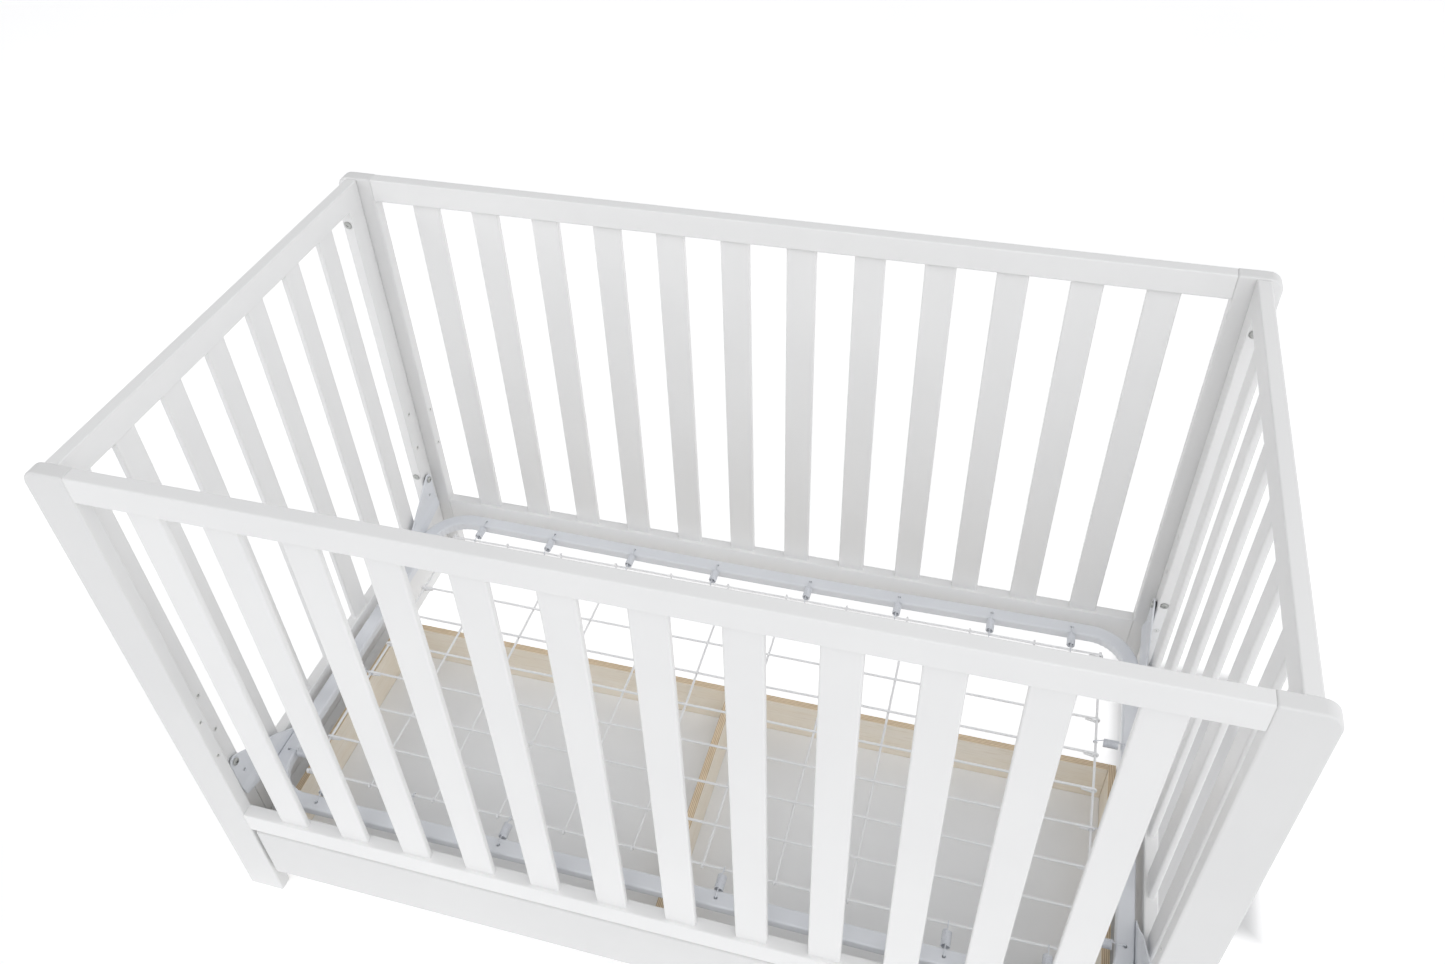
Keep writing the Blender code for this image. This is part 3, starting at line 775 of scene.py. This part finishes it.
def tube_section(width, height, edge):
    """A rectangle with rounded corners, with extra points down its inner side for the wrinkles."""
    outline = []
    for quarter, signs in enumerate([(1, 1), (-1, 1), (-1, -1), (1, -1)]):
        centre = (signs[0] * (width / 2 - edge), signs[1] * (height / 2 - edge))
        outline += arc(centre, edge, 90 * quarter, 90 * quarter + 90, 4)
        if quarter == 1:
            outline += [(-width / 2, (height / 2 - edge) * (1 - 2 * step / 6)) for step in range(1, 6)]
    return outline


def mattress_frame():
    low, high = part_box("mattress_frame")
    middle_z = (low[2] + high[2]) / 2
    radius = FRAME_CORNER_RADIUS - TUBE_WIDTH / 2
    stations = ring_stations(high[0] - low[0] - TUBE_WIDTH, high[1] - low[1] - TUBE_WIDTH, radius, 44, 24)
    section = tube_section(TUBE_WIDTH, high[2] - low[2], TUBE_EDGE)
    shape = bmesh.new()
    rings = []
    for centre, outward, bend, travelled in stations:
        wave = 0.5 - 0.5 * math.cos(2 * math.pi * travelled / WRINKLE_LENGTH)
        ring = []
        for out, up in section:
            inside = max(0.0, -out / (TUBE_WIDTH / 2))
            squeezed = out + WRINKLE_DEPTH * bend * wave * inside ** 3
            point = centre + outward * squeezed
            ring.append(shape.verts.new((point.x, point.y, middle_z + up)))
        rings.append(ring)
    count = len(section)
    for ring, following in zip(rings, rings[1:] + rings[:1]):
        for index in range(count):
            after = (index + 1) % count
            shape.faces.new((ring[index], ring[after], following[after], following[index]))
    bmesh.ops.recalc_face_normals(shape, faces=shape.faces)
    tube = new_piece("bent_tube", as_mesh("bent_tube", shape), [TUBE_COAT], SUPPORT,
                     ["mattress_frame"])
    holes = bmesh.new()
    for hole, _ in spring_places():
        add_cylinder(holes, (hole.x, hole.y, high[2]), 2, HOOK_HOLE_RADIUS, 0.016, segments=20)
    cut(tube, holes)
    smooth(tube, 50)


def spring_places():
    """(hole in the tube's top, middle of the grid wire that the spring holds) for each spring."""
    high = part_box("mattress_frame")[1]
    grid_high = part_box("wire_grid")[1]
    top = high[2]
    hole_x = high[0] - TUBE_WIDTH / 2
    hole_y = high[1] - TUBE_WIDTH / 2
    wire_x = grid_high[0] - 0.002
    wire_y = grid_high[1] - 0.002
    places = []
    for side in (-1, 1):
        for x in SIDE_SPRINGS:
            hole = Vector((x, side * (hole_y - bow(x)), top))
            places.append((hole, Vector((x, side * wire_y, LONG_WIRE_Z))))
        for y in END_SPRINGS:
            places.append((Vector((side * hole_x, y, top)), Vector((side * wire_x, y, CROSS_WIRE_Z))))
    return places


def spring(name, hole, held):
    """An extension spring: a hook down into the tube, a close coil, and a hook round a grid wire."""
    along_axis = Vector((held.x - hole.x, held.y - hole.y, 0.0))
    distance = along_axis.length
    along_axis.normalize()
    up = Vector((0, 0, 1))
    side = along_axis.cross(up)
    hook_height = 0.0026
    bend = 0.0022
    coil_length = COIL_TURNS * COIL_PITCH
    start = (distance - coil_length) / 2 + 0.0025
    axis_height = hook_height - COIL_RADIUS
    flat = [(0.0, -0.007)] + [(bend + x, y) for x, y in arc((0.0, hook_height - bend), bend, 180, 90, 5)]
    path = [(u, 0.0, w) for u, w in flat]
    per_turn = 14
    for step in range(COIL_TURNS * per_turn + 1):
        angle = 2 * math.pi * step / per_turn
        path.append((start + coil_length * step / (COIL_TURNS * per_turn), COIL_RADIUS * math.sin(angle),
                     axis_height + COIL_RADIUS * math.cos(angle)))
    around = WIRE_RADIUS + SPRING_WIRE_RADIUS + 0.0001
    drop = held.z - hole.z
    path += [(u, 0.0, w) for u, w in arc((distance, drop), around, 90, -165, 12)]
    points = [hole + along_axis * u + side * v + up * w for u, v, w in path]
    wire(name, points, SPRING_WIRE_RADIUS, SPRING_STEEL, SUPPORT, sides=2)


def wobble(distance, seed, size=0.0005):
    """A slow unevenness of hand-set wire."""
    return size * (math.sin(distance * 9.0 + seed * 1.7) + 0.5 * math.sin(distance * 23.0 + seed * 2.9))


def wire_grid():
    """Twelve cross wires below nine long wires, each bent round the outermost wire at its ends."""
    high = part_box("wire_grid")[1]
    end_x = high[0] - 0.002
    end_y = high[1] - 0.002
    wrap = 2 * WIRE_RADIUS
    steps = 24
    for number in range(GRID_CELLS[0] + 1):
        x = end_x * (2 * number / GRID_CELLS[0] - 1)
        curl = arc((end_y, LONG_WIRE_Z), wrap, -90, 75, 7)
        run = [(y, z) for y, z in curl[::-1]]
        run += [(end_y - 2 * end_y * step / steps, CROSS_WIRE_Z) for step in range(1, steps)]
        run += [(-y, z) for y, z in curl]
        points = [(x + wobble(y, number), y, z) for y, z in run]
        wire(f"cross_wire_{number + 1:02d}", points, WIRE_RADIUS, WIRE_COAT, SUPPORT,
             ["wire_grid"])
    for number in range(GRID_CELLS[1] + 1):
        y = end_y * (2 * number / GRID_CELLS[1] - 1)
        loop = arc((end_x, CROSS_WIRE_Z), wrap, 90, -90, 8)
        tail = [(end_x - 0.017, LONG_WIRE_Z - wrap + 0.0002)]
        run = [(-x, z) for x, z in tail + loop[::-1]]
        run += [(-end_x + 2 * end_x * step / steps, LONG_WIRE_Z) for step in range(1, steps)]
        run += loop + tail
        points = [(x, y + wobble(x, number + 20), z) for x, z in run]
        wire(f"long_wire_{number + 1}", points, WIRE_RADIUS, WIRE_COAT, SUPPORT, ["wire_grid"])


def bracket_outline():
    """Outline of a corner bracket as (distance from the long side's face, height) pairs."""
    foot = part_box("front_left_bracket")[0][2]
    near = BOLT_INSET - BRACKET_HEAD_RADIUS
    outline = [(near, 0.2235), (near + 0.003, 0.2188), (0.100, 0.2060), (0.138, 0.1985),
               (0.144, foot + 0.0005), (0.148, foot), (0.173, foot), (0.177, foot + 0.004), (0.177, 0.204),
               (0.175, 0.2095), (0.165, 0.2175), (0.137, 0.239)]
    return outline + arc((BOLT_INSET, BOLT_HEIGHT), BRACKET_HEAD_RADIUS, 55, 180, 10)


def bracket(node, side_x, side_y):
    """The pressed corner plate, joggled from the tube's side out to the washer on the stile."""
    low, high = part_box(node)
    outside = high[0] if side_x > 0 else low[0]
    tube_side = side_x * (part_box("mattress_frame")[1][0] + GAP + PLATE_THICKNESS)
    face_y = CAD_BOX[1][1]
    shape = bmesh.new()
    corners = [(outside, side_y * (face_y - away), height) for away, height in bracket_outline()]
    shape.faces.new([shape.verts.new(corner) for corner in corners])
    start, end = PLATE_JOGGLE
    for step in range(9):
        height = start + (end - start) * step / 8
        everything = shape.verts[:] + shape.edges[:] + shape.faces[:]
        bmesh.ops.bisect_plane(shape, geom=everything, plane_co=(0, 0, height), plane_no=(0, 0, 1))
    for vertex in shape.verts:
        share = min(1.0, max(0.0, (vertex.co.z - start) / (end - start)))
        eased = share * share * (3 - 2 * share)
        vertex.co.x = tube_side + (outside - tube_side) * eased
    bmesh.ops.recalc_face_normals(shape, faces=shape.faces)
    shape.normal_update()
    shape.faces.ensure_lookup_table()
    if shape.faces[0].normal.x * side_x < 0:
        bmesh.ops.reverse_faces(shape, faces=shape.faces)
    piece = new_piece(node + "_plate", as_mesh(node, shape), [TUBE_COAT], SUPPORT, [node])
    plate = piece.modifiers.new("plate", "SOLIDIFY")
    plate.thickness = PLATE_THICKNESS
    plate.offset = -1
    bolt_y = side_y * (face_y - BOLT_INSET)
    holes = bmesh.new()
    add_cylinder(holes, (outside, bolt_y - side_y * 0.008, BOLT_HEIGHT - 0.032), 0, 0.0028, 0.02, 24)
    drill(piece, holes)
    eased = piece.modifiers.new("eased_edges", "BEVEL")
    eased.width = 0.0005
    eased.segments = 2
    eased.limit_method = "ANGLE"
    eased.angle_limit = math.radians(50)
    smooth(piece, 50)
    plate_face = outside - side_x * (PLATE_THICKNESS + GAP)
    bolt_place = facing((plate_face, bolt_y, BOLT_HEIGHT), (-side_x, 0, 0))
    placed_copy(node + "_bolt_piece", BRACKET_BOLT, bolt_place, ZINC, SUPPORT, [node + "_bolt"])
    washer_place = facing((outside + side_x * 0.0001, bolt_y, BOLT_HEIGHT), (side_x, 0, 0))
    placed_copy(node + "_washer", WASHER, washer_place, BLACK_NYLON, SUPPORT)


def drill(piece, holes):
    """Applies a piece's modifiers and then cuts holes in it."""
    evaluated = piece.evaluated_get(bpy.context.evaluated_depsgraph_get())
    mesh = bpy.data.meshes.new_from_object(evaluated)
    piece.modifiers.clear()
    piece.data = mesh
    cut(piece, holes)


# ---------------------------------------------------------------- the drawer

def ply_board(node, across, axis, face, edge):
    """A plywood wall: veneer on its two big faces, layers on its edges."""
    low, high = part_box(node)
    shape = board_shape(low, high, axis, 0.0007, True)
    shape.normal_update()
    for part in shape.faces:
        part.material_index = 0 if abs(part.normal[across]) > 0.9 else 1
    piece = new_piece(node + "_ply", as_mesh(node, shape), [face, edge], DRAWER, [node])
    smooth(piece)


def drawer():
    shape = board_shape(*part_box("drawer_front"), 0, 0.0032, True)
    mesh = as_mesh("drawer_front", shape)
    front = new_piece("drawer_front_panel", mesh, [DRAWER_FRONT_PAINTED_SHADE], DRAWER, ["drawer_front"])
    smooth(front)
    ply_board("drawer_left_side", 0, 1, PLY_FACE_Y, PLY_EDGE_X)
    ply_board("drawer_right_side", 0, 1, PLY_FACE_Y, PLY_EDGE_X)
    ply_board("drawer_divider", 0, 1, PLY_FACE_Y, PLY_EDGE_X)
    ply_board("drawer_back", 1, 0, PLY_FACE_X, PLY_EDGE_Y)
    low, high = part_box("drawer_bottom")
    shape = board_shape(low, high, 0, 0.0005, True)
    panel = new_piece("drawer_bottom_panel", as_mesh("drawer_bottom", shape), [PANEL], DRAWER,
                      ["drawer_bottom"])
    smooth(panel)


def keep_cad(nodes, material):
    """A CAD node whose shape is already right only gets its finish."""
    for node in nodes:
        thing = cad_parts[node]
        thing.data.materials.clear()
        thing.data.materials.append(material)


make_camera()
make_studio()
make_floor()
long_side("front")
long_side("back")
end_panel("left_end", -1)
end_panel("right_end", 1)
mattress_frame()
wire_grid()
for spring_number, (spring_hole, spring_wire) in enumerate(spring_places()):
    spring(f"spring_{spring_number + 1:02d}", spring_hole, spring_wire)
for corner_name, corner_x, corner_y in (("front_left", -1, -1), ("front_right", 1, -1),
                                        ("back_left", -1, 1), ("back_right", 1, 1)):
    bracket(corner_name + "_bracket", corner_x, corner_y)
drawer()
keep_cad(["left_drawer_runner", "right_drawer_runner", "drawer_left_slide", "drawer_right_slide"], PAINT[1])
